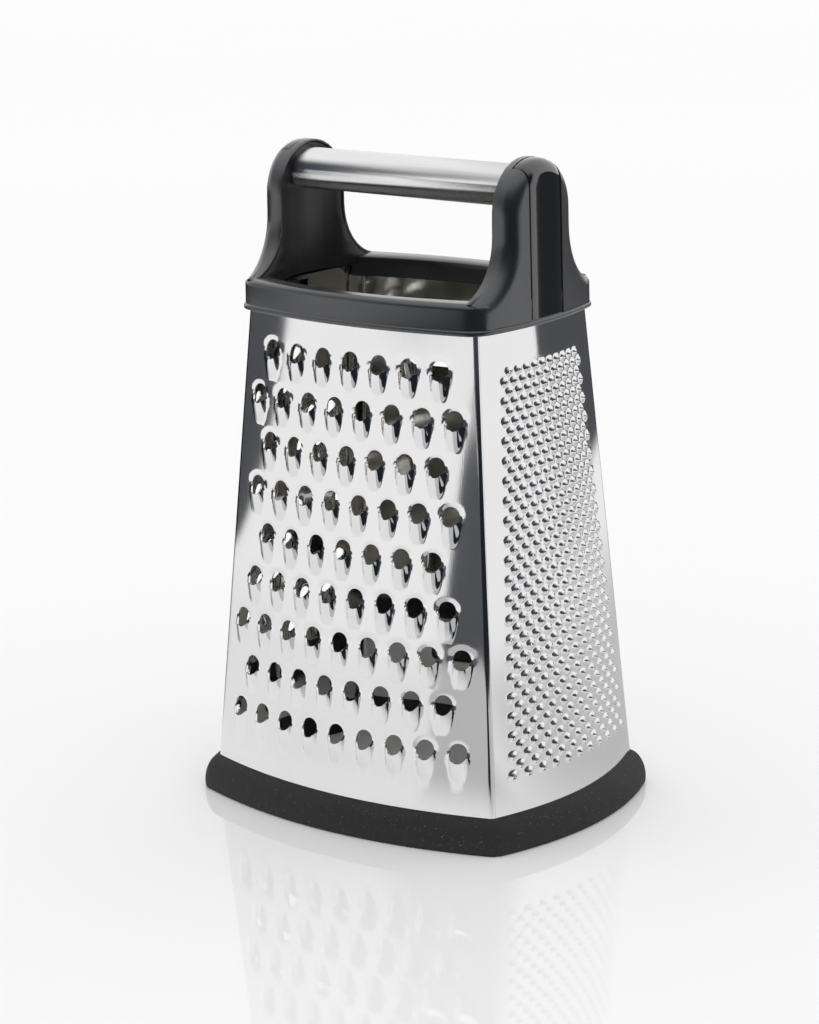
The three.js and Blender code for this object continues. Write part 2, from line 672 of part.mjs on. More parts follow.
addSteel("coarse_panel", coarsePanel());
addSteel(
  "fine_panel",
  prickedPanel(FINE_ROWS, FINE_COLUMNS, [FINE_LOW, FINE_HIGH], [FINE_LOW_PITCH, FINE_HIGH_PITCH], FINE_TOOTH, 1),
);
addSteel("slicing_panel", slicingPanel());
addSteel(
  "zest_panel",
  prickedPanel(ZEST_ROWS, ZEST_COLUMNS, [ZEST_LOW, ZEST_HIGH], [ZEST_LOW_PITCH, ZEST_HIGH_PITCH], ZEST_TOOTH, 3),
);
addSatin("collar_frame", collarFrame);
addSatin("right_inner_plate", rightPlate);
addSatin("left_inner_plate", mirrored(rightPlate));
add("right_cover_strip", rightStrip, 0x0b0c0e, 0.12, 0);
add("left_cover_strip", mirrored(rightStrip), 0x0b0c0e, 0.12, 0);
add("handle_tube", tube, 0xb9bbbd, 0.35, 1);
add("right_tube_plug", rightPlug, 0x202124, 0.6, 0);
add("left_tube_plug", mirrored(rightPlug), 0x202124, 0.6, 0);
add("right_handle_screw", rightScrew, 0x9a9c9f, 0.3, 1);
add("left_handle_screw", mirrored(rightScrew), 0x9a9c9f, 0.3, 1);
add("base_ring", baseRing, 0x1a1a1b, 0.85, 0);

export default group;
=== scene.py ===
"""Looks of a box grater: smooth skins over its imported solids, in millimetres until a mesh is made."""

import bpy
import numpy as np
from mathutils import Matrix


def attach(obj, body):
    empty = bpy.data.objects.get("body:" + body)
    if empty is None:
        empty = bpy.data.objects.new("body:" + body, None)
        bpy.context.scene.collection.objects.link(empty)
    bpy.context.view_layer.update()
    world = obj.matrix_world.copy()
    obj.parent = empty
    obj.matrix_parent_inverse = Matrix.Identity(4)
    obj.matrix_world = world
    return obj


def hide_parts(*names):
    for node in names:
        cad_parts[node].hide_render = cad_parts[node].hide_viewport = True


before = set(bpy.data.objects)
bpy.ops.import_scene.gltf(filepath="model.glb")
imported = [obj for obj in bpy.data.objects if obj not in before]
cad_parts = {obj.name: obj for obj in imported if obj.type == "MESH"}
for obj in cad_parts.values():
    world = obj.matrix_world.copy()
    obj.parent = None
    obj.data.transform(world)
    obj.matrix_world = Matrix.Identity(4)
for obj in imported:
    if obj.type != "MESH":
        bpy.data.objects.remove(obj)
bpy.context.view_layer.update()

# Sizes in millimetres, the same as the solids have.
MM = 0.001
SHEET = 0.6
RING_TOP, NECK_Z = 12.2, 181.0
STEEL_BOTTOM, STEEL_TOP = 3.6, 188.8
BEND = 1.2
SEAM = 0.06
WINDOW_LOW, WINDOW_HIGH = 184.4, 187.2
COLLAR_X, COLLAR_Y = 52.4, 35.85
COLLAR_BOW_FRONT, COLLAR_BOW_SIDE, COLLAR_CORNER = 6.9, 4.7, 10.0
LIP_TOP, RAIL_TOP, RAIL_WIDTH = 184.3, 193.4, 8.6
RAIL_ROUND, RAIL_EDGE, RAIL_CROWN = 2.2, 1.2, 4.0
CROWN_Z, UPRIGHT_HALF, UPRIGHT_INNER, UPRIGHT_FILLET = 240.0, 18.6, 46.5, 5.0
UPRIGHT_DISH, UPRIGHT_DRAFT, OUTER_X = 5.0, 0.015, 57.5
ARCH_Z = CROWN_Z - UPRIGHT_HALF
FLARE, FLARE_Y, FLARE_Z = 21.2, 39.8, 214.05
PLATE_BOTTOM = 190.0
STRIP_HALF, STRIP_END, STRIP_DEEP = 9.7, 49.6, 1.2
TUBE_Z, TUBE_RADIUS, TUBE_WALL, TUBE_END = 229.5, 7.55, 1.0, 52.5
RING_OUT, RING_EASE = 5.5, 1.6
POCKET_HALF = STRIP_HALF + 0.2
FLOOR_HALF = 6.0
# The coarse tooth, which the zest teeth repeat at a smaller scale: spacing of its rows, room above its
# origin, length of its bar, and half the height and the drop of the block of faces cut for its hole.
COARSE_ROW, COARSE_HEAD, COARSE_TAIL = 16.8, 4.8, 11.2
BLOCK_HIGH, BLOCK_LOW = 3.0, 0.6


def smooth(t):
    """Ease from 0 to 1 with flat ends, 3 t squared less 2 t cubed."""
    t = np.clip(t, 0, 1)
    return t * t * (3 - 2 * t)


def span(base, neck):
    """A length that changes evenly with height, from the top of the base ring to the neck."""
    return lambda z: base + (neck - base) * (z - RING_TOP) / (NECK_Z - RING_TOP)


half_width, half_depth = span(62.8, 50.5), span(44.9, 33.95)
bow_front, bow_side = span(10.6, 5.15), span(8.6, 4.4)
WIDE = half_width, half_depth, bow_front
NARROW = half_depth, half_width, bow_side


def place(x, y, z):
    """Three arrays of any matching shapes as one array of points."""
    return np.stack(np.broadcast_arrays(x, y, z), -1).astype(float)


def turned(points, quarters):
    """Points turned about the upright axis by quarter turns, so that the front goes to the right first."""
    x, y, z = points[..., 0], points[..., 1], points[..., 2]
    return [points, place(-y, x, z), place(-x, -y, z), place(y, -x, z)][quarters]


class Skin:
    """Grids of points that are welded into one mesh where they meet."""

    def __init__(self):
        self.points, self.quads, self.count = [], [], 0

    def grid(self, points, keep=None, wrap=False, flip=False):
        """Adds a grid of rows and columns, with faces that look along columns cross rows.

        Wrap joins its last column to the first, and flip turns its faces round.
        """
        rows, columns = points.shape[:2]
        at = np.arange(rows * columns).reshape(rows, columns) + self.count
        if wrap:
            at = np.hstack([at, at[:, :1]])
        quads = np.stack([at[:-1, :-1], at[:-1, 1:], at[1:, 1:], at[1:, :-1]], -1)
        quads = quads.reshape(-1, 4) if keep is None else quads[keep]
        self.quads.append(quads[:, ::-1] if flip else quads)
        self.points.append(points.reshape(-1, 3))
        self.count += rows * columns
        return self

    def mirrored(self):
        """The same skin on the other side of the plane between left and right."""
        other = Skin()
        other.points = [p * [-1, 1, 1] for p in self.points]
        other.quads = [q[:, ::-1] for q in self.quads]
        other.count = self.count
        return other

    def joined(self, *others):
        """This skin with others added to it."""
        for other in others:
            self.points += other.points
            self.quads += [q + self.count for q in other.quads]
            self.count += other.count
        return self

    def welded(self):
        """Points with no doubles, and faces of four or three corners between them."""
        points, quads = np.vstack(self.points), np.vstack(self.quads)
        _, first, index = np.unique(np.round(points, 3), axis=0, return_index=True, return_inverse=True)
        quads = index.reshape(-1)[quads]
        same = quads == np.roll(quads, 1, axis=1)
        full, three = ~same.any(1), same.sum(1) == 1
        faces = [quads[full], quads[three][~same[three]].reshape(-1, 3)]
        used, index = np.unique(np.concatenate([f.ravel() for f in faces]), return_inverse=True)
        cut = faces[0].size
        faces = [index[:cut].reshape(-1, 4), index[cut:].reshape(-1, 3)]
        return points[first][used], faces

    def thickened(self, thick):
        """A closed sheet: the skin, a copy moved back along its normals, and a rim along each open edge."""
        points, faces = self.welded()
        normals = np.zeros_like(points)
        for f in faces:
            across = np.cross(points[f[:, 2]] - points[f[:, 0]], points[f[:, -1]] - points[f[:, 1]])
            for corner in f.T:
                np.add.at(normals, corner, across)
        normals /= np.linalg.norm(normals, axis=1, keepdims=True)
        edges = np.vstack([np.stack([f, np.roll(f, -1, axis=1)], -1).reshape(-1, 2) for f in faces])
        key = np.sort(edges, axis=1)
        _, index, times = np.unique(key, axis=0, return_inverse=True, return_counts=True)
        rim = edges[times[index.reshape(-1)] == 1]
        count = len(points)
        rim = np.column_stack([rim[:, 1], rim[:, 0], rim[:, 0] + count, rim[:, 1] + count])
        inner = [f[:, ::-1] + count for f in faces]
        return np.vstack([points, points - thick * normals]), [*faces, rim, *inner]

    def piece(self, name, finish, nodes, slot, thick=0.0, inside=None, crease=38.0):
        """Makes the mesh object, smooth apart from edges over the crease, and hands it to the frame."""
        points, faces = self.thickened(thick) if thick else self.welded()
        mesh = bpy.data.meshes.new(name)
        mesh.from_pydata((points * MM).tolist(), [], [f for part in faces for f in part.tolist()])
        mesh.polygons.foreach_set("use_smooth", np.ones(len(mesh.polygons), dtype=bool))
        mesh.set_sharp_from_angle(angle=np.radians(crease))
        mesh.materials.append(finish)
        if inside:
            mesh.materials.append(inside)
            # The parts are the outer quads and triangles, the rim, and the inner quads and triangles.
            which = np.repeat([0, 0, 0, 1, 1], [len(part) for part in faces])
            mesh.polygons.foreach_set("material_index", which.astype(np.int32))
        made = bpy.data.objects.new(name, mesh)
        bpy.context.scene.collection.objects.link(made)
        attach(made, "root")
        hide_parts(*nodes)
        return made


class Wire:
    """An output of a shader node. Sums, differences and products with it add Math nodes."""

    def __init__(self, tree, socket):
        self.tree, self.socket = tree, socket

    def __add__(self, other):
        return self.tree.math("ADD", self, other)

    def __sub__(self, other):
        return self.tree.math("SUBTRACT", self, other)

    def __rsub__(self, other):
        return self.tree.math("SUBTRACT", other, self)

    def __mul__(self, other):
        return self.tree.math("MULTIPLY", self, other)

    __radd__, __rmul__ = __add__, __mul__

    def step(self, low, high):
        """Eases from 0 to 1 between two values of the wire."""
        return self.tree.node("ShaderNodeMapRange", {"interpolation_type": "SMOOTHSTEP"},
                              {"Value": self, "From Min": low, "From Max": high})


class Tree:
    """The shader nodes of a material or of the world."""

    def __init__(self, owner):
        owner.use_nodes = True
        self.owner, self.nodes, self.links = owner, owner.node_tree.nodes, owner.node_tree.links
        self.nodes.clear()

    def node(self, kind, settings=None, inputs=None, output=0):
        """One output of a new node: its settings are set first, then the values or links of its sockets."""
        made = self.nodes.new(kind)
        for key, value in (settings or {}).items():
            setattr(made, key, value)
        for key, value in (inputs or {}).items():
            if isinstance(value, Wire):
                self.links.new(value.socket, made.inputs[key])
            else:
                made.inputs[key].default_value = value
        return Wire(self, made.outputs[output]) if made.outputs else None

    def math(self, operation, *values):
        """A Math node of one operation on these values."""
        return self.node("ShaderNodeMath", {"operation": operation}, dict(enumerate(values)))

    def axes(self, vector):
        """The x, y and z of a vector."""
        split = self.node("ShaderNodeSeparateXYZ", {}, {"Vector": vector})
        return [Wire(self, socket) for socket in split.socket.node.outputs]

    def noise(self, vector, scale, detail=2.0):
        """Soft noise from 0 to 1 on a vector."""
        return self.node("ShaderNodeTexNoise", {}, {"Vector": vector, "Scale": scale, "Detail": detail})

    def stretched(self, vector, scale):
        """A vector scaled on each axis, so that a noise on it is drawn out along the small ones."""
        return self.node("ShaderNodeMapping", {}, {"Vector": vector, "Scale": scale})

    def blend(self, factor, first, second):
        """Colour between two colours."""
        pick = {0: factor, 6: (*first, 1) if isinstance(first, tuple) else first,
                7: (*second, 1) if isinstance(second, tuple) else second}
        return self.node("ShaderNodeMix", {"data_type": "RGBA"}, pick, 2)

    def bump(self, height, strength, distance):
        """Normal of a surface raised by the height, in metres at full height."""
        inputs = {"Height": height, "Strength": strength, "Distance": distance}
        return self.node("ShaderNodeBump", {}, inputs)

    def surface(self, inputs):
        """Ends a material in one Principled shader with these sockets."""
        shader = self.node("ShaderNodeBsdfPrincipled", {}, inputs)
        self.node("ShaderNodeOutputMaterial", {}, {"Surface": shader})
        return self.owner


def new_tree(name):
    """A new material's nodes, and its points in metres."""
    tree = Tree(bpy.data.materials.new(name))
    return tree, tree.node("ShaderNodeTexCoord", {}, {}, "Object")


def polished_sheet(name, worked):
    """Bright stainless sheet with faint upright brush lines and a little cloudiness.

    The field of fine teeth, which narrows with height, is rougher by worked.
    """
    tree, at = new_tree(name)
    _, y, z = tree.axes(at)
    wide = 1 - (tree.math("ABSOLUTE", y) + 0.09 * z).step(0.039, 0.041)
    field = wide * z.step(0.023, 0.025) * (1 - z.step(0.170, 0.172))
    brush = tree.noise(tree.stretched(at, (1, 1, 0.012)), 2600, 3)
    cloud = tree.noise(at, 30, 2)
    return tree.surface({
        "Base Color": tree.blend(cloud, (0.80, 0.80, 0.80), (0.87, 0.87, 0.875)),
        "Metallic": 1.0,
        "Roughness": 0.045 + 0.03 * brush + 0.02 * cloud + worked * field,
        "Normal": tree.bump(brush, 0.05, 0.00006),
    })


def shaded_inner_sheet():
    """Inner side of the stainless sheet, a little darker and warmer: painted shade for the inside of the
    body.
    """
    tree, at = new_tree("shaded_inner_sheet")
    brush = tree.noise(tree.stretched(at, (1, 1, 0.02)), 1500, 3)
    cloud = tree.noise(at, 40, 2)
    return tree.surface({
        # Painted shade: a darker, warmer base than the outer side stands in for the shade inside the body.
        "Base Color": tree.blend(cloud, (0.72, 0.70, 0.66), (0.80, 0.78, 0.74)),
        "Metallic": 1.0,
        "Roughness": 0.05 + 0.06 * brush,
        "Normal": tree.bump(brush, 0.05, 0.00006),
    })


def brushed_tube():
    """Stainless tube with turned lines: each line leans the normal along the tube by its own amount."""
    tree, at = new_tree("brushed_tube")
    brush = tree.noise(tree.stretched(at, (0.01, 1, 1)), 2400, 3)
    lines_per_metre, spread, waist = 2000000, 0.4, 8.0
    across = tree.axes(at)[0]
    line = tree.math("FLOOR", across * lines_per_metre)
    lean = tree.node("ShaderNodeTexWhiteNoise", {"noise_dimensions": "1D"}, {"W": line})
    lean = tree.node("ShaderNodeCombineXYZ", {}, {"X": (lean - 0.5) * spread - waist * across})
    normal = tree.node("ShaderNodeNewGeometry", {}, {}, "Normal")
    normal = tree.node("ShaderNodeVectorMath", {"operation": "ADD"}, {0: normal, 1: lean})
    return tree.surface({
        "Base Color": tree.blend(brush, (0.74, 0.74, 0.745), (0.86, 0.86, 0.865)),
        "Metallic": 1.0,
        "Roughness": 0.11 + 0.07 * brush,
        "Normal": tree.node("ShaderNodeVectorMath", {"operation": "NORMALIZE"}, {0: normal}),
    })


def satin_moulding():
    """Black satin plastic with a fine moulded grain and slight smears."""
    tree, at = new_tree("satin_moulding")
    grain = tree.noise(at, 2100, 2)
    smear = tree.noise(tree.stretched(at, (1, 1, 0.4)), 60, 3)
    return tree.surface({
        "Base Color": tree.blend(grain, (0.003, 0.0032, 0.004), (0.007, 0.0073, 0.009)),
        "Roughness": 0.25 + 0.07 * smear + 0.05 * grain,
        "Specular IOR Level": 1.0,
        "Coat Weight": 0.7,
        "Coat Roughness": 0.22,
        "Specular Tint": (0.93, 0.95, 1.0, 1.0),
        "Normal": tree.bump(grain, 0.60, 0.00016),
    })


def satin_plate():
    """Darker satin plastic of the inner plates, with faint upright streaks."""
    tree, at = new_tree("satin_plate")
    streak = tree.noise(tree.stretched(at, (1, 1, 0.03)), 900, 3)
    return tree.surface({
        "Base Color": tree.blend(streak, (0.006, 0.006, 0.007), (0.014, 0.014, 0.015)),
        "Roughness": 0.26 + 0.12 * streak,
        "Normal": tree.bump(streak, 0.05, 0.00004),
    })


def gloss_strip():
    """Deep gloss black plastic with a little dust."""
    tree, at = new_tree("gloss_strip")
    dust = tree.noise(at, 2200, 2).step(0.70, 0.80)
    smear = tree.noise(at, 45, 2)
    return tree.surface({
        "Base Color": tree.blend(dust, (0.003, 0.0035, 0.005), (0.04, 0.04, 0.042)),
        "Roughness": 0.05 + 0.05 * smear + 0.25 * dust,
        "Specular IOR Level": 1.0,
        "Coat Weight": 0.6,
    })


def dull_rubber():
    """Charcoal rubber with a fine tooth, pale dust specks and soft wear."""
    tree, at = new_tree("dull_rubber")
    tooth = tree.noise(at, 2600, 3)
    speck = tree.noise(at, 1500, 1).step(0.70, 0.76)
    wear = tree.noise(at, 70, 3)
    body = tree.blend(wear, (0.007, 0.0072, 0.008), (0.017, 0.0172, 0.0185))
    return tree.surface({
        "Base Color": tree.blend(speck * 0.5, body, (0.22, 0.22, 0.22)),
        "Roughness": 0.58 + 0.14 * wear + 0.1 * tooth,
        "Normal": tree.bump(tooth, 0.2, 0.00006),
    })


def plain_plug():
    """Dull black plastic of the hidden plugs."""
    tree, at = new_tree("plain_plug")
    grain = tree.noise(at, 1500, 2)
    return tree.surface({
        "Base Color": tree.blend(grain, (0.015, 0.015, 0.016), (0.03, 0.03, 0.032)),
        "Roughness": 0.45 + 0.15 * grain,
    })


def zinc_screw():
    """Zinc plated screw steel, slightly mottled."""
    tree, at = new_tree("zinc_screw")
    mottle = tree.noise(at, 900, 3)
    return tree.surface({
        "Base Color": tree.blend(mottle, (0.45, 0.46, 0.48), (0.62, 0.63, 0.65)),
        "Metallic": 1.0,
        "Roughness": 0.25 + 0.2 * mottle,
    })


def face(form, u, z, lift=0.0):
    """A bowed face seen from the front: its depth falls with the square of u.

    Lift moves it out along its normal in plan.
    """
    half, depth, bow = (f(z) for f in form)
    slope = 2 * bow * u / half ** 2
    out = lift / np.hypot(slope, 1)
    return place(u + slope * out, -(depth + bow * (1 - (u / half) ** 2)) - out, z)


def corner_bend(z):
    """Right edge of a wide panel: a round corner, a step in, and a flange behind the side panel."""
    hw, hd, bs = half_width(z), half_depth(z), bow_side(z)
    joggle, flange = 0.75, 8.0

    def side(run, back):
        y = hd - run
        slope = 2 * bs * y / hd ** 2
        away = back / np.hypot(slope, 1)
        return place(hw + bs * (1 - (y / hd) ** 2) - away, -y + slope * away, z)

    start, corner, end = face(WIDE, hw - BEND, z), place(hw, -hd, z), side(BEND, 0)
    t = np.array([0.17, 0.33, 0.5, 0.67, 0.83, 1])[:, None, None]
    curve = (1 - t) ** 2 * start + 2 * t * (1 - t) * corner + t * t * end
    runs, backs = [BEND + SEAM, BEND + 0.3, 4.5, flange], [0.5, joggle, joggle, joggle]
    tail = np.stack([side(run, back) for run, back in zip(runs, backs)])
    return np.swapaxes(np.concatenate([curve, tail]), 0, 1)


def wide_panel(u, z, lift, keep):
    """Skin of a front panel with both of its bent edges."""
    middle = face(WIDE, u, z, lift)
    right = corner_bend(z[:, -1])
    left = (right * [-1, 1, 1])[:, ::-1]
    more = right.shape[1]
    return np.hstack([left, middle, right]), np.pad(keep, ((0, 0), (more, more)), constant_values=True)


def nearest(u, z, top, row, head, pitch, counts):
    """Offsets of each point from the nearest tooth of staggered rows, and whether there is a tooth."""
    j = np.clip(np.floor((top - z) / row + 1e-6), 0, len(counts) - 1).astype(int)
    count = np.asarray(counts)[j]
    shift = np.where(count % 2 == 0, 0.5, 0.0)
    along = u / pitch(z)
    middle = np.round(along - shift) + shift
    return (along - middle) * pitch(z), z - (top - head - row * j), np.abs(middle) <= (count - 1) / 2 + 0.01


def rounded_hole(du, dz, half, high, to_half, to_high, reach, drop=0.0):
    """Moves that turn a block of faces into an ellipse lower by drop, fading out over a reach round it."""
    x, y = np.clip(du / half, -1, 1), np.clip(dz / high, -1, 1)
    far = np.hypot(np.maximum(np.abs(du) - half, 0), np.maximum(np.abs(dz) - high, 0))
    share = np.clip(1 - far / reach, 0, 1)
    return ((to_half * x * np.sqrt(1 - y * y / 2) - half * x) * share,
            (to_high * y * np.sqrt(1 - x * x / 2) - high * y - drop) * share)


def tongue(du, dz, half, high, tail, rise, dish):
    """Relief round a hole at the origin: a round bar below it, and a dish round its top.

    The bar sinks into the sheet with a power of the way down its tail, is arched across, and narrows
    to a round end. The dish is an ellipse that fades out towards its edge and towards the bar.
    """
    t = np.clip(-dz / tail, 0, 1)
    lower = smooth((0.07 * high - dz) / (0.53 * high))
    side = np.abs(du) / (half * np.sqrt(1 - 0.999 * t ** 4))
    across = np.clip(np.minimum(1 - 0.45 * side ** 2, 1.85 - 1.7 * side), 0, 1)
    bar = rise * (1 - t ** 1.6) * across * lower
    away = np.hypot(du / (1.55 * half), dz / (1.5 * high))
    return bar - dish * smooth((1 - away) / 0.8) * smooth(0.5 + dz / (1.2 * high)) * (1 - lower)


def middles(a):
    """Means of the four corners of each face of a grid."""
    return (a[:-1, :-1] + a[1:, :-1] + a[:-1, 1:] + a[1:, 1:]) / 4


def both_sides(half):
    """Columns of the right half mirrored to the left."""
    return np.hstack([-half[:, :0:-1], half])


# Heights of the rows of points about the origin of a coarse tooth.
TOOTH_STEPS = np.array([-12, -11, -9.8, -8.6, -7.4, -6.2, -5.2, -4.4, -3.6, -3.0,
                        -2.2, -1.3, -0.4, 0.5, 1.3, 1.9, 2.4, 2.9, 3.5, 4.1])


def coarse_sheet():
    """Front sheet: columns repeat each half pitch for the staggered rows, and the edge columns close up."""
    half_pitch, top, counts = 6.2, 175.0, [7, 8, 7, 8, 7, 8, 9, 8, 9]
    block_half, mouth, drop = 3.6, 3.45, 0.45
    cell = np.array([0, 0.8, 1.6, 2.2, 2.6, 2.9, 3.1, 3.3, 3.6, 4.0, 4.6, 5.4])
    bands = top - COARSE_HEAD - COARSE_ROW * np.arange(len(counts))[::-1]
    z = np.concatenate([[STEEL_BOTTOM, 8, 12, 16, 20], (bands[:, None] + TOOTH_STEPS).ravel(),
                        [top, 178, NECK_Z, 185, STEEL_TOP]])
    # From the bottom up, nine and then eight cells keep the pitch, and the columns after them close up.
    cells = np.array([9] * 5 + [8] * 7)
    last = cells[0] * len(cell) + 2
    k = np.arange(last + 1)
    flat = half_pitch * (k // len(cell)) + cell[k % len(cell)]
    lines = np.concatenate([[STEEL_BOTTOM], bands + TOOTH_STEPS[0], [top, STEEL_TOP]])
    reach = (cells * len(cell))[:, None]
    limit = (half_width(lines) - BEND)[:, None]
    spread = flat[np.minimum(k, reach)] + (limit - flat[reach]) * np.maximum(k - reach, 0) / (last - reach)
    spread[0], spread[-1] = spread[1] * limit[0] / limit[1], spread[-2] * limit[-1] / limit[-2]
    j = np.clip(np.searchsorted(lines, z, "right") - 1, 0, len(lines) - 2)
    share = ((z - lines[j]) / (lines[j + 1] - lines[j]))[:, None]
    u = both_sides((1 - share) * spread[j] + share * spread[j + 1])
    z = np.broadcast_to(z[:, None], u.shape)

    def from_tooth(u, z):
        return nearest(u, z, top, COARSE_ROW, COARSE_HEAD, lambda z: 2 * half_pitch, counts)

    du, dz, there = from_tooth(middles(u), middles(z))
    keep = ~(there & (np.abs(du) < block_half) & (np.abs(dz + BLOCK_LOW) < BLOCK_HIGH))
    du, dz, there = from_tooth(u, z)
    dz = dz + BLOCK_LOW
    move_u, move_z = rounded_hole(du, dz, block_half, BLOCK_HIGH,
                                  to_half=3.4, to_high=mouth, reach=2.4, drop=drop)
    move_u, move_z = move_u * there, move_z * there
    dz = dz + move_z + drop
    lift = there * tongue(du + move_u, dz, half=3.45, high=mouth, tail=COARSE_TAIL, rise=2.0, dish=0.55)
    return wide_panel(u + move_u, z + move_z, lift, keep)


def pitched(low, high, low_z, high_z):
    """Spacing of teeth that changes evenly with height."""
    return lambda z: low + (high - low) * (z - low_z) / (high_z - low_z)


def narrow_columns(cell, cells, pitch, z):
    """Columns as shares of the pitch, repeated each half pitch, then three more to the panel's edge."""
    k = np.arange(len(cell) * cells + 1)
    share = 0.5 * (k // len(cell)) + np.asarray(cell)[k % len(cell)]
    inner = pitch(z)[:, None] * share
    limit = (half_depth(z) - BEND - SEAM)[:, None]
    outer = inner[:, -1:] + (limit - inner[:, -1:]) * np.array([0.4, 0.8, 1])
    return both_sides(np.hstack([inner, outer]))


def window(u, z, half):
    """Faces of the latch window under the top edge of a narrow panel."""
    return (np.abs(middles(u)) < half) & (middles(z) > WINDOW_LOW) & (middles(z) < WINDOW_HIGH)


def fine_sheet():
    """Right sheet: small domes round holes, in 42 staggered rows that close up towards the top."""
    low_row, high_row, counts, hole_high = 26, 168, [10, 11] * 21, 0.65
    mouth, dome_rise, dome_reach = 0.70, 0.85, 2.05
    row = (high_row - low_row) / (len(counts) - 1)
    top = high_row + row / 2
    pitch = pitched(6.97, 4.53, low_row, high_row)
    steps = np.array([-row / 2, -1.2, -hole_high, 0, hole_high, 1.2])
    rows = (low_row + row * np.arange(len(counts)))[:, None] + steps
    z = np.concatenate([[STEEL_BOTTOM, 8, 12, 16, 20, 23.5, 23.9], rows.ravel(), [top, top + 0.35, top + 0.7],
                        [172, 175, 178, NECK_Z, WINDOW_LOW, WINDOW_HIGH, STEEL_TOP]])
    u = narrow_columns([0, 0.12, 0.25, 0.38], 11, pitch, z)
    z = np.broadcast_to(z[:, None], u.shape)
    du, dz, there = nearest(middles(u), middles(z), top, row, row / 2, pitch, counts)
    hole = 0.12 * pitch(z)
    keep = ~(there & (np.abs(du) < middles(hole)) & (np.abs(dz) < hole_high) | window(u, z, 4.4))
    du, dz, there = nearest(u, z, top, row, row / 2, pitch, counts)
    there = there & (np.abs(dz) < row)
    move_u, move_z = rounded_hole(du, dz, hole, hole_high, to_half=mouth, to_high=mouth, reach=0.9)
    away = np.hypot(du + move_u, 1.1 * (dz + move_z))
    lift = there * dome_rise * smooth((dome_reach - away) / (dome_reach - mouth))
    return face(NARROW, u + move_u * there, z + move_z * there, lift), keep


def zest_sheet():
    """Left sheet: the coarse tooth at a smaller scale, in 13 staggered rows."""
    low_row, high_row, counts = 26, 172, [6, 5] * 6 + [6]
    row = (high_row - low_row) / (len(counts) - 1)
    scale = row / COARSE_ROW
    head = COARSE_HEAD * scale
    top = high_row + head
    pitch = pitched(12.4, 9.6, low_row, high_row)
    rows = (low_row + row * np.arange(len(counts)))[:, None] + scale * TOOTH_STEPS
    z = np.concatenate([[STEEL_BOTTOM, 7, 11, 14], rows.ravel(),
                        [top, 178, NECK_Z, WINDOW_LOW, WINDOW_HIGH, STEEL_TOP]])
    u = narrow_columns([0, 0.09, 0.16, 0.205, 0.25, 0.295, 0.34, 0.41], 6, pitch, z)
    z = np.broadcast_to(z[:, None], u.shape)
    hole, middle, high = 0.205 * pitch(z), BLOCK_LOW * scale, BLOCK_HIGH * scale
    du, dz, there = nearest(middles(u), middles(z), top, row, head, pitch, counts)
    keep = ~(there & (np.abs(du) < middles(hole)) & (np.abs(dz + middle) < high) | window(u, z, 4.8))
    du, dz, there = nearest(u, z, top, row, head, pitch, counts)
    dz = dz + middle
    mouth, drop = 1.15 * high, 0.15 * high
    move_u, move_z = rounded_hole(du, dz, hole, high, to_half=hole, to_high=mouth, reach=1.2, drop=drop)
    move_u, move_z = move_u * there, move_z * there
    dz = dz + move_z + drop
    tail = COARSE_TAIL * scale
    lift = there * tongue(du + move_u, dz, half=1.02 * hole, high=mouth, tail=tail, rise=1.4, dish=0.35)
    return face(NARROW, u + move_u, z + move_z, lift), keep


def slicing_sheet():
    """Back sheet: four long slots, each with a lip that climbs to it from below and a slight dish above."""
    row, half, high, low_slot, slots = 36.0, 33.0, 1.6, 44, 4
    lip_long, lip_rise, dish_high, dish_deep = 12, 1.6, 5, 0.5
    steps = np.array([-20, -16, -13.6, -12, -10, -8, -6, -4.5, -3.2, -2.2,
                      -high, -0.8, 0, 0.8, high, 2.4, 3.4, 5, 8, 12])
    rows = (low_slot + row * np.arange(slots))[:, None] + steps
    z = np.concatenate([[STEEL_BOTTOM, 9, 14, 19], rows.ravel(),
                        [168, 174, NECK_Z, 185, STEEL_TOP]])
    right = np.array([0, 4, 8, 12, 16, 20, 23, 26, 28, 29.5, 30.6,
                      31.4, 32, 32.5, 32.8, half, 33.4, 34, 35, 36.4, 38.5, 42])
    limit = (half_width(z) - BEND)[:, None]
    u = both_sides(np.hstack([np.broadcast_to(right, (len(z), len(right))), limit]))
    z = np.broadcast_to(z[:, None], u.shape)

    def from_slot(z):
        return z - low_slot - row * np.clip(np.floor((z - low_slot - steps[0]) / row), 0, slots - 1)

    keep = ~((np.abs(middles(u)) < half) & (np.abs(from_slot(middles(z))) < high))
    dz = from_slot(z)
    end = np.clip((np.abs(u) - half + high) / high, 0, 1)
    near = np.clip(1 - np.maximum(np.abs(dz) - high, 0) / 1.4, 0, 1) * (np.abs(u) < half + 0.1)
    move = np.clip(dz, -high, high) * (np.sqrt(1 - 0.9 * end ** 2) - 1) * near
    dz = dz + move
    t = np.clip((-high - dz) / lip_long, 0, 1)
    share = smooth((0.8 - dz) / 1.6)
    fade = smooth((half + 2.2 - np.abs(u)) / 3.6)
    lip = share * lip_rise * (1 - t) ** 0.9
    dish = (1 - share) * dish_deep * smooth(1 - dz / dish_high)
    return wide_panel(u, z + move, fade * (lip - dish), keep)


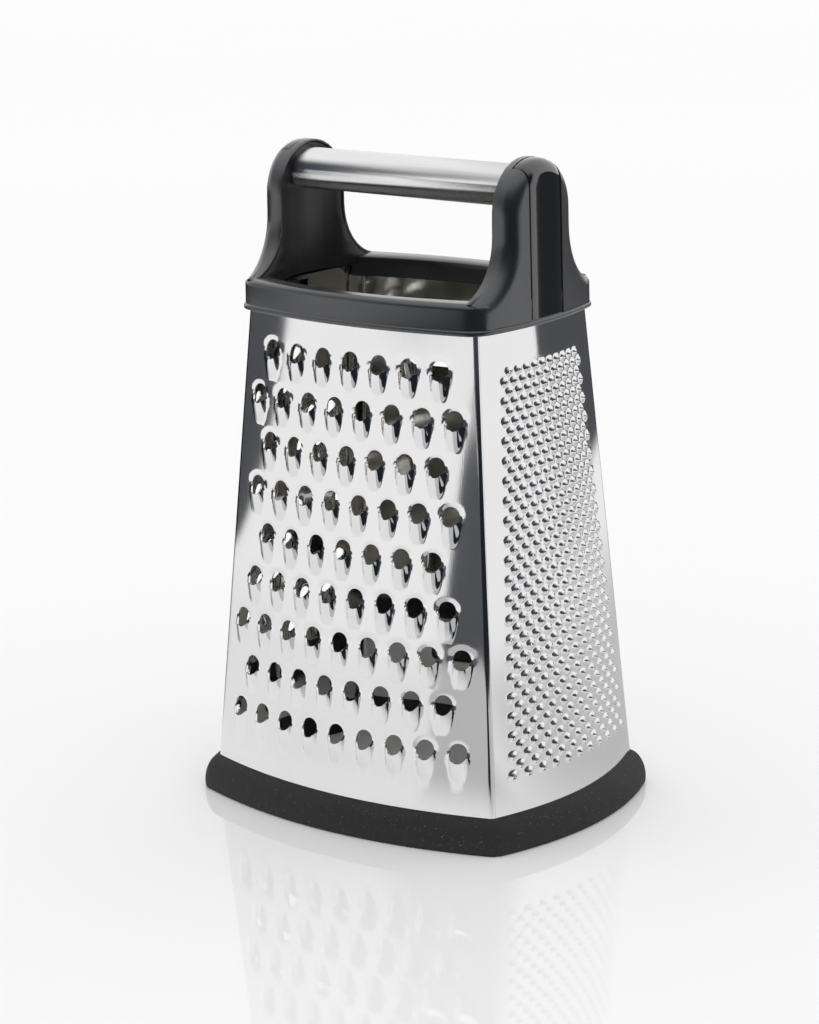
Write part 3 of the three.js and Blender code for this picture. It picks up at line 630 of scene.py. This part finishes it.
def box_loop(hw, hd, bow_f, bow_s, radius):
    """A closed outline of four bowed sides with curved corners, one loop for each row of values."""
    reach = radius * np.tan((np.pi / 2 - np.arctan(2 * bow_f / hw) - np.arctan(2 * bow_s / hd)) / 2)
    f, t, s = np.linspace(0, 1, 19)[:-1], np.linspace(0, 1, 13), np.linspace(1, 0, 17)[1:]

    def front(x):
        return -(hd + bow_f * (1 - (x / hw) ** 2))

    def side(y):
        return hw + bow_s * (1 - (y / hd) ** 2)

    ax, by = hw - reach, -(hd - reach)
    x = np.hstack([f * ax, (1 - t) ** 2 * ax + 2 * t * (1 - t) * hw + t * t * side(by), side(s * by)])
    y = np.hstack([front(f * ax), (1 - t) ** 2 * front(ax) - 2 * t * (1 - t) * hd + t * t * by, s * by])
    x, y = np.hstack([x, x[:, -2::-1]]), np.hstack([y, -y[:, -2::-1]])
    return np.hstack([x[:, :-1], -x[:, :-1]]), np.hstack([y[:, :-1], -y[:, :-1]])


def collar_skin():
    """Collar: a profile with a lip and a round top along the outline, and rails on its front and back."""
    turn = np.radians(np.linspace(0, 90, 8))
    lip, over = np.array([(-1.6, -1.8), (0.2, -2.0), (0.5, -1.85), (0.65, -1.45),
                          (0.65, -0.7), (0.45, -0.3), (0.08, -0.05), (0, 0.3)]).T
    off = np.concatenate([lip, RAIL_ROUND * (np.cos(turn) - 1)])[:, None]
    z = np.concatenate([LIP_TOP + over, RAIL_TOP - RAIL_ROUND * (1 - np.sin(turn))])[:, None]
    corner = np.maximum(1, COLLAR_CORNER + off)
    x, y = box_loop(COLLAR_X + off, COLLAR_Y + off, COLLAR_BOW_FRONT, COLLAR_BOW_SIDE, corner)
    ring = Skin().grid(place(x, y, z), wrap=True)
    across = np.arange(-24, 25)
    x, edge = x[-1, across], y[-1, across]
    wall = -(COLLAR_Y - RAIL_WIDTH + COLLAR_BOW_FRONT * (1 - (x / (COLLAR_X - RAIL_WIDTH)) ** 2))
    turn = np.radians([0, 10, 20, 32, 45, 60, 75, 90])
    inner = np.stack([wall - RAIL_CROWN * (1 - np.sin(a)) for a in turn])
    y = np.vstack([edge, (edge + inner[0]) / 2, inner, wall, wall, wall, edge + 1.4])
    edge_z = RAIL_TOP - RAIL_EDGE * (1 - np.cos(turn))
    z = np.concatenate([[RAIL_TOP, RAIL_TOP], edge_z, [190, 187, 185.3, 184.6]])
    rail = place(x, y, z[:, None])
    return ring.grid(rail).grid(turned(rail, 2))


# Columns across the middle of an upright, close together at the edges of the strip's pocket.
BELL_MIDDLE = np.array([10.15, 10.0, 9.85, 9.7, 6.5, 3.2, 0, -3.2, -6.5, -9.7, -9.85, -10.0, -10.15])


def bell_side(inset, foot):
    """Half of an upright's outline: foot, flare arc, straight edge, and the arch up to the strip."""
    reach, arch = FLARE + inset, UPRIGHT_HALF - inset
    end = np.arccos(np.clip((FLARE_Y - (COLLAR_Y - 0.2 - inset)) / reach, 0, 0.95))
    t = np.linspace(end, 0, 18)
    a = np.linspace(0, np.arccos(BELL_MIDDLE[0] / arch), 11)[:-1]
    y = np.concatenate([[COLLAR_Y - 0.2 - inset], FLARE_Y - reach * np.cos(t), arch * np.cos(a)])
    z = np.concatenate([[foot], FLARE_Z - reach * np.sin(t), ARCH_Z + arch * np.sin(a)])
    return y, z


def arch_top(inset, y):
    """Height of the arch over a point across the upright."""
    return ARCH_Z + np.sqrt((UPRIGHT_HALF - inset) ** 2 - y ** 2)


def bell_loop(inset, foot):
    """The whole outline of an upright from the back foot over the crown to the front foot."""
    y, z = bell_side(inset, foot)
    crown = arch_top(inset, BELL_MIDDLE)
    return np.concatenate([y, BELL_MIDDLE, -y[::-1]]), np.concatenate([z, crown, z[::-1]])


def bell_face(inset, foot):
    """Grid that fills an upright's outline: rows follow its side, and the middle columns stay upright."""
    y, z = bell_side(inset, foot)
    y, z = np.append(y, BELL_MIDDLE[0]), np.append(z, arch_top(inset, BELL_MIDDLE[0]))
    outer = BELL_MIDDLE[0] + (y - BELL_MIDDLE[0])[:, None] * np.array([1, 0.72, 0.46, 0.22])
    middle = np.broadcast_to(BELL_MIDDLE, (len(y), len(BELL_MIDDLE)))
    grow = (arch_top(inset, BELL_MIDDLE) - foot) / (z[-1] - foot)
    side_z = np.repeat(z[:, None], 4, 1)
    return (np.hstack([outer, middle, -outer[:, ::-1]]),
            np.hstack([side_z, foot + (z[:, None] - foot) * grow, side_z]))


def outer_face(x, y, z):
    """Outer side of an upright: bowed as the collar is, and leaning in a little with height."""
    return x - COLLAR_BOW_SIDE * (y / COLLAR_Y) ** 2 - UPRIGHT_DRAFT * (z - LIP_TOP)


def inner_face(y, z):
    """Inner side of an upright: a shallow dish, deepest along the middle below the arch."""
    away = (y ** 2 + np.maximum(0, z - ARCH_Z) ** 2) / UPRIGHT_HALF ** 2
    return UPRIGHT_INNER + UPRIGHT_DISH * np.maximum(0, 1 - away)


def upright_skin():
    """Right upright: a rim round the plate, the bell edge, a quarter round, and a face with a pocket."""
    rows = []
    for inset, back in ((1.0, 1.8), (1.0, 0.25), (0.85, 0.05), (0.5, 0.0), (0.12, 0.1), (0.0, 0.45)):
        y, z = bell_loop(inset, PLATE_BOTTOM)
        rows.append(place(inner_face(y, z) + back, y, z))
    deep = STRIP_DEEP * (np.abs(bell_loop(0, LIP_TOP)[0]) < POCKET_HALF)
    y, z = bell_loop(0, PLATE_BOTTOM)
    rows.append(place(STRIP_END - 0.3, y, z))
    # The row before the quarter round is the step down into the pocket, behind the strip's end.
    for t in np.concatenate([[-1], np.linspace(0, 1, 12)]):
        angle = np.pi / 2 * max(t, 0)
        y, z = bell_loop(UPRIGHT_FILLET * (1 - np.cos(angle)), LIP_TOP)
        x = outer_face(OUTER_X - UPRIGHT_FILLET * (1 - np.sin(angle)), y, z)
        x = np.full_like(y, STRIP_END - 0.2) if t < 0 else x
        rows.append(place(x - deep * np.sin(angle), y, z - deep * np.cos(angle)))
    y, z = bell_face(UPRIGHT_FILLET, LIP_TOP)
    x = outer_face(OUTER_X, y, z) - STRIP_DEEP * (np.abs(y) < POCKET_HALF)
    return Skin().grid(np.stack(rows)).grid(place(x, y, z), flip=True)


def plate_skin():
    """Right inner plate: the dished face inside the rim, with a rounded edge and a flat foot."""
    y, z = bell_face(1.45, PLATE_BOTTOM + 0.2)
    front = place(inner_face(y, z) + 0.12, y, z)
    rows = []
    for inset, back in ((1.45, 0.12), (1.25, 0.2), (1.15, 0.4), (1.15, 1.6)):
        y, z = bell_loop(inset, PLATE_BOTTOM + 0.2)
        rows.append(place(inner_face(y, z) + back, y, z))
    return Skin().grid(front).grid(np.stack(rows)).grid(np.stack([front[0] + [1.5, 0, 0], front[0]]))


def strip_skin():
    """Right cover strip: a band with round edges, up the outer face and over the crown."""
    inset = np.array([0, 0.2, 0.4, 0.6, 0.9, 3.7, 6.7])
    edge = np.array([1.1, 0.8, 0.42, 0.2, 0.1, 0.1, 0.1])
    y = np.concatenate([inset - STRIP_HALF, [0], (STRIP_HALF - inset)[::-1]])
    drop = np.concatenate([edge, edge[-1:], edge[::-1]])
    rows = []
    foot = LIP_TOP + 0.3
    for share in np.linspace(0, 1, 18)[:-1]:
        z = foot + share * (arch_top(UPRIGHT_FILLET, y) - foot)
        rows.append(place(outer_face(OUTER_X, y, z) - drop, y, z))
    for angle in np.linspace(np.pi / 2, 0, 12):
        z = arch_top(UPRIGHT_FILLET * (1 - np.cos(angle)), y)
        x = outer_face(OUTER_X - UPRIGHT_FILLET * (1 - np.sin(angle)), y, z)
        rows.append(place(x - drop * np.sin(angle), y, z - drop * np.cos(angle)))
    for out, low in ((1.0, 0), (0.3, 0), (0.1, 0.08), (0, 0.3), (0, 1.0)):
        rows.append(place(STRIP_END + out, y, arch_top(0, y) - drop - low))
    return Skin().grid(np.stack(rows))


def tube_skin():
    """Handle tube: a wall of even thickness turned about its axis, with eased ends."""
    a = np.linspace(0, 2 * np.pi, 97)[:-1]
    outer, inner, end, ease = TUBE_RADIUS, TUBE_RADIUS - TUBE_WALL, TUBE_END, 0.2
    x = np.array([-end, -end, ease - end, end - ease, end, end, -end])[:, None]
    r = np.array([inner, outer - ease, outer, outer, outer - ease, inner, inner])[:, None]
    return Skin().grid(place(x, r * np.sin(a), TUBE_Z - r * np.cos(a)), wrap=True, flip=True)


def ring_skin():
    """Base ring: a closed profile along the body's outline, with fuller bows and softer corners outside."""
    off, z = np.array([
        (-4.6, 0), (-2, 0), (1.5, 0), (4.2, 0), (4.75, 0.25), (5.1, 0.8), (5.35, 1.9),
        (RING_OUT, 3.4), (5.45, 4.8), (5.25, 6.2), (4.85, 7.6), (4.25, 9.0), (3.45, 10.2),
        (2.5, 11.2), (1.5, 11.85), (0.6, RING_TOP), (0.1, RING_TOP), (-0.8, 11.7), (-2.6, 10.4),
        (-4.6, 9.2), (-4.6, 0)]).T[:, :, None]
    ease = RING_EASE * np.maximum(0, off - 0.5) / (RING_OUT - 0.5)
    level = np.clip(z, 0, RING_TOP)
    x, y = box_loop(half_width(level) + off - ease, half_depth(level) + off - ease, bow_front(level) + ease,
                    bow_side(level) + ease, np.maximum(1.2, 1.2 + 1.2 * off))
    return Skin().grid(place(x, y, z), wrap=True)


def studio_floor():
    """Pale table that keeps the shadow; in reflections alone, painted dark zones lie round a white middle.

    A zone is a product of smooth steps on the distance in metres and on the direction, where turn
    is the angle from the front towards the right.
    """
    tree, at = new_tree("studio_floor")
    path = tree.node("ShaderNodeLightPath", {}, {}, "Is Glossy Ray")
    soft = tree.noise(at, 3, 2)
    white = tree.blend(soft, (0.95, 0.95, 0.95), (0.97, 0.97, 0.97))
    x, y, _ = tree.axes(at)
    away = tree.node("ShaderNodeVectorMath", {"operation": "LENGTH"}, {0: at}, "Value")
    ahead = 0.0 - y
    turn = tree.math("ARCTAN2", x, ahead)
    sector = (x * 0.983 - y * 0.182).step(0.030, 0.048) * (1 - turn.step(1.45, 1.62))
    opening = ahead.step(1.88, 1.94) * (1 - ahead.step(2.30, 2.38))
    front_right = sector * (0.36 * away.step(0.10, 0.22) + 0.56 * away.step(0.50, 0.54) * (1 - opening))
    side = (turn.step(0.36, 0.46) * (1 - turn.step(0.74, 0.86)) * away.step(0.17, 0.25)
            + turn.step(0.19, 0.30) * (1 - turn.step(1.45, 1.62)) * away.step(0.50, 0.60))
    near = 0.09 * ahead.step(0.04, 0.10) * away.step(0.12, 0.20) * (1 - away.step(0.35, 0.70))
    near_left = 0.75 * (1 - turn.step(-1.55, -1.15)) * away.step(0.12, 0.20)
    left = 0.93 * (y * 0.742 - x * 0.670).step(0.205, 0.220) * (0.0 - x).step(0.56, 0.62)
    back = 0.93 * (y * 0.636 - x * 0.772).step(-0.056, -0.044) * away.step(0.75, 0.85) * y.step(0.0, 0.1)
    back = back + 0.38 * y.step(-0.05, 0.10) * (1 - away.step(0.30, 0.60))
    # Painted reflections: these zones darken the floor only where the steel mirrors it.
    zones = front_right + side + near + near_left + left + back
    shade = tree.node("ShaderNodeClamp", {}, {"Value": zones})
    seen = tree.node("ShaderNodeBsdfPrincipled", {}, {"Base Color": white, "Roughness": 0.035, "IOR": 1.45})
    toned = tree.blend(shade, white, (0.012, 0.015, 0.022))
    mirrored = tree.node("ShaderNodeBsdfDiffuse", {}, {"Color": toned})
    mixed = tree.node("ShaderNodeMixShader", {}, {0: path, 1: seen, 2: mirrored})
    tree.node("ShaderNodeOutputMaterial", {}, {"Surface": mixed})
    return tree.owner


def studio_world():
    """Even white light; in reflections the sky is grey to the front and dark to the front right."""
    world = bpy.data.worlds.new("studio_world")
    tree = Tree(world)
    glossy = tree.node("ShaderNodeLightPath", {}, {}, "Is Glossy Ray")
    at = tree.node("ShaderNodeTexCoord", {}, {}, "Generated")
    x, y, z = tree.axes(at)
    front_right = (x * 0.70 - y * 0.713).step(0.18, 0.40) * (1 - z.step(0.40, 0.90))
    front = (0.0 - y).step(-0.2, 0.3) * z.step(0.02, 0.31) * (1 - z.step(0.05, 0.92))
    sky = tree.blend(front, (1.0, 1.0, 1.0), (0.20, 0.20, 0.21))
    sky = tree.blend(front_right, sky, (0.05, 0.055, 0.07))
    colour = tree.blend(glossy, (1.0, 1.0, 1.0), sky)
    light = tree.node("ShaderNodeBackground", {}, {"Color": colour})
    tree.node("ShaderNodeOutputWorld", {}, {"Surface": light})
    return world


steel, inner_shade = polished_sheet("polished_sheet", 0.0), shaded_inner_sheet()
fine_steel = polished_sheet("fine_sheet_steel", 0.05)
sheets = (("coarse", coarse_sheet, steel, 38.0), ("fine", fine_sheet, fine_steel, 60.0),
          ("slicing", slicing_sheet, steel, 38.0), ("zest", zest_sheet, steel, 38.0))
for quarters, (name, sheet, finish, crease) in enumerate(sheets):
    points, keep = sheet()
    skin = Skin().grid(turned(points, quarters), keep)
    # The inner faces of each sheet take the painted shade of the inner side.
    skin.piece(name + "_sheet", finish, [name + "_panel"], "steel", SHEET, inner_shade, crease)

upright, plate, strip = upright_skin(), plate_skin(), strip_skin()
black, dark, gloss = satin_moulding(), satin_plate(), gloss_strip()
collar = collar_skin().joined(upright, upright.mirrored())
collar.piece("collar_and_uprights", black, ["collar_frame"], "frame")
for side, plate_side, strip_side in (("right", plate, strip), ("left", plate.mirrored(), strip.mirrored())):
    plate_side.piece(side + "_plate_face", dark, [side + "_inner_plate"], "plate")
    strip_side.piece(side + "_gloss_band", gloss, [side + "_cover_strip"], "strip")
tube_skin().piece("tube", brushed_tube(), ["handle_tube"], "tube")
ring_skin().piece("rubber_ring", dull_rubber(), ["base_ring"], "ring")

plug, screw = plain_plug(), zinc_screw()
for side in ("right", "left"):
    for node, finish in ((side + "_tube_plug", plug), (side + "_handle_screw", screw)):
        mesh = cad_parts[node].data
        mesh.materials.clear()
        mesh.materials.append(finish)

scene = bpy.context.scene
scene.view_settings.view_transform = "Standard"
scene.world = studio_world()
floor_mesh = bpy.data.meshes.new("floor")
corners = [(sx * FLOOR_HALF, sy * FLOOR_HALF, 0) for sx, sy in ((-1, -1), (1, -1), (1, 1), (-1, 1))]
floor_mesh.from_pydata(corners, [], [(0, 1, 2, 3)])
floor_mesh.materials.append(studio_floor())
floor = bpy.data.objects.new("floor", floor_mesh)
scene.collection.objects.link(floor)

lens = bpy.data.cameras.new("camera")
lens.lens, lens.sensor_width, lens.clip_end = 107.09, 36.0, 50.0
camera = bpy.data.objects.new("camera", lens)
scene.collection.objects.link(camera)
# Right, up and back of the camera and its place in metres, fitted to the photo.
camera.matrix_world = Matrix((
    (0.80211, -0.13540, 0.58163, 0.648774),
    (0.59691, 0.21079, -0.77412, -0.870228),
    (-0.01779, 0.96811, 0.24990, 0.385738),
    (0, 0, 0, 1)))
scene.camera = camera
